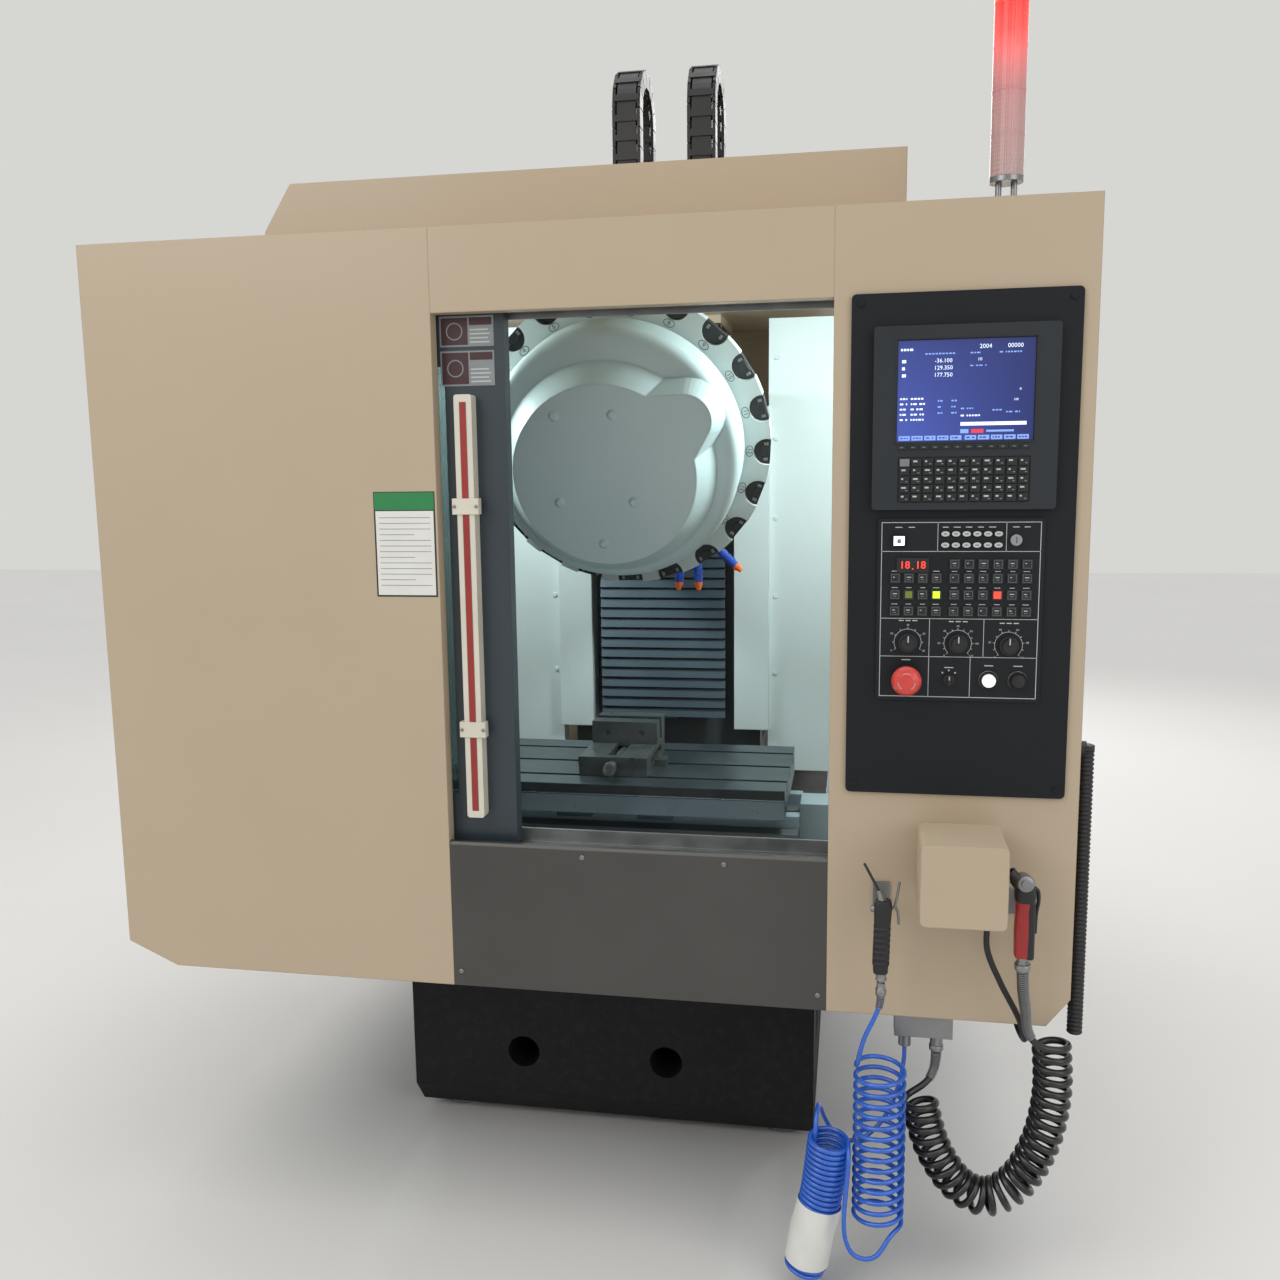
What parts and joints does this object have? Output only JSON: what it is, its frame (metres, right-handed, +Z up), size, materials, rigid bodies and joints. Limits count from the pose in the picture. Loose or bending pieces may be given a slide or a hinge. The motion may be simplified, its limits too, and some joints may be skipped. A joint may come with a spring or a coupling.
{
  "type": "CNC machining center",
  "caption": "Enclosed vertical machining center with sliding door, tool magazine, table with vise, control panel, energy chains and hand guns on coiled hoses.",
  "frame": {"origin": "centre of the machine's outline at the floor, without the hanging hoses", "axes": "+X to the right of the operator, +Y to the rear, +Z up and out of the table's top face"},
  "size_m": [1.783, 2.1, 2.5137],
  "materials": {
    "cream_paint": "satin",
    "dark_sheet": "satin",
    "black_panel": "satin",
    "casting_black": "matte",
    "casting_grey": "satin",
    "white_paint": "satin",
    "ground_steel": "satin",
    "zinc": "satin",
    "table_iron": "satin",
    "vise_steel": "satin",
    "window": "polished",
    "door_dark": "satin",
    "handle_plastic": "satin",
    "black_plastic": "matte",
    "unit_plastic": "matte",
    "lens_plastic": "gloss",
    "blue_plastic": "satin",
    "red_plastic": "gloss",
    "white_plastic": "gloss",
    "gun_red": "satin",
    "air_tube": "gloss",
    "coolant_tube": "satin",
    "motor_black": "satin",
    "ring_white": "satin"
  },
  "bodies": {
    "machine": {"base_casting": "casting_black", "levelling_feet": "zinc", "column_casting": "casting_grey", "y_axis_drive": "ground_steel", "z_axis_drive": "ground_steel", "column_guards": "white_paint", "z_slat_cover": "dark_sheet", "rear_wall": "white_paint", "chip_pan": "ground_steel", "front_left_panel": "cream_paint", "header_panel": "cream_paint", "front_right_panel": "cream_paint", "lower_front_cover": "dark_sheet", "side_panels": "cream_paint", "roof_panel": "cream_paint", "top_box": "cream_paint", "door_tracks": "zinc", "control_panel_plate": "black_panel", "display_unit": "unit_plastic", "operator_panel": "unit_plastic", "tower_light_pole": "zinc", "tower_light_lenses": "lens_plastic", "energy_chains": "black_plastic", "electric_cabinet": "cream_paint", "handwheel_box": "cream_paint", "hose_fittings": "zinc", "air_gun": "black_plastic", "coolant_gun": "gun_red", "air_hose": "air_tube", "air_coil": "air_tube", "air_bundle": "air_tube", "coolant_hose": "coolant_tube", "coolant_coil": "coolant_tube", "handwheel_cable": "coolant_tube", "side_conduit": "black_plastic", "magazine_bracket": "casting_grey", "magazine_cover": "white_paint"},
    "door": {"door_frame": "door_dark", "door_window": "window", "door_handle": "handle_plastic"},
    "saddle": {"saddle": "casting_grey", "x_axis_drive": "ground_steel"},
    "table": {"table": "table_iron", "vise_body": "vise_steel"},
    "vise_jaw": {"vise_jaw": "vise_steel"},
    "vise_screw": {"vise_screw": "zinc"},
    "head": {"headstock": "casting_grey", "spindle_motor": "motor_black", "coolant_nozzles": "blue_plastic"},
    "spindle": {"spindle": "ground_steel"},
    "magazine": {"magazine_ring": "ring_white"},
    "cabinet_door": {"cabinet_door": "cream_paint"},
    "stop_button": {"stop_button": "red_plastic"},
    "power_on_button": {"power_on_button": "white_plastic"},
    "power_off_button": {"power_off_button": "black_plastic"},
    "mode_knob": {"mode_knob": "black_plastic"},
    "feed_knob": {"feed_knob": "black_plastic"},
    "speed_knob": {"speed_knob": "black_plastic"},
    "selector_knob": {"selector_knob": "black_plastic"},
    "key_switch": {"key_switch": "ground_steel"}
  },
  "joints": [
    {"name": "door_slide", "type": "slide", "parent": "machine", "child": "door", "axis": [1, 0, 0], "range_m": [0, 0.564]},
    {"name": "y_slide", "type": "slide", "parent": "machine", "child": "saddle", "axis": [0, 1, 0], "range_m": [-0.02, 0.34]},
    {"name": "x_slide", "type": "slide", "parent": "saddle", "child": "table", "axis": [1, 0, 0], "range_m": [-0.25, 0.25]},
    {"name": "z_slide", "type": "slide", "parent": "machine", "child": "head", "axis": [0, 0, 1], "range_m": [-0.25, 0], "deforming": ["z_slat_cover"]},
    {"name": "spindle_turn", "type": "hinge", "parent": "head", "child": "spindle", "pos_m": [0, -0.125, 1.25], "axis": [0, 0, 1], "continuous": true},
    {"name": "magazine_turn", "type": "hinge", "parent": "machine", "child": "magazine", "pos_m": [0, -0.32, 1.496], "axis": [0, -0.9511, -0.309], "continuous": true},
    {"name": "vise_screw_turn", "type": "hinge", "parent": "table", "child": "vise_screw", "pos_m": [0, -0.45, 0.805], "axis": [0, 1, 0], "range_deg": [-6481, 1441]},
    {"name": "vise_jaw_slide", "type": "slide", "parent": "table", "child": "vise_jaw", "axis": [0, 1, 0], "range_m": [-0.09, 0.02]},
    {"name": "cabinet_door_hinge", "type": "hinge", "parent": "machine", "child": "cabinet_door", "pos_m": [-0.4, 1.038, 1], "axis": [0, 0, 1], "range_deg": [0, 110]},
    {"name": "stop_press", "type": "slide", "parent": "machine", "child": "stop_button", "axis": [0, 1, 0], "range_m": [0, 0.006]},
    {"name": "power_on_press", "type": "slide", "parent": "machine", "child": "power_on_button", "axis": [0, 1, 0], "range_m": [0, 0.003], "stiffness_N_per_m": 500, "springref_m": -0.001},
    {"name": "power_off_press", "type": "slide", "parent": "machine", "child": "power_off_button", "axis": [0, 1, 0], "range_m": [0, 0.003], "stiffness_N_per_m": 500, "springref_m": -0.001},
    {"name": "mode_turn", "type": "hinge", "parent": "machine", "child": "mode_knob", "pos_m": [0.597, -0.91, 1.149], "axis": [0, 1, 0], "range_deg": [-120, 120]},
    {"name": "feed_turn", "type": "hinge", "parent": "machine", "child": "feed_knob", "pos_m": [0.677, -0.91, 1.149], "axis": [0, 1, 0], "range_deg": [-135, 135]},
    {"name": "speed_turn", "type": "hinge", "parent": "machine", "child": "speed_knob", "pos_m": [0.757, -0.91, 1.147], "axis": [0, 1, 0], "range_deg": [-135, 135]},
    {"name": "selector_turn", "type": "hinge", "parent": "machine", "child": "selector_knob", "pos_m": [0.664, -0.91, 1.089], "axis": [0, 1, 0], "range_deg": [-90, 90]},
    {"name": "key_turn", "type": "hinge", "parent": "machine", "child": "key_switch", "pos_m": [0.763, -0.91, 1.318], "axis": [0, 1, 0], "range_deg": [0, 90]}
  ],
  "couplings": [
    {"joint": "vise_screw_turn", "follows": "vise_jaw_slide", "rad_per_m": 1256.6}
  ]
}
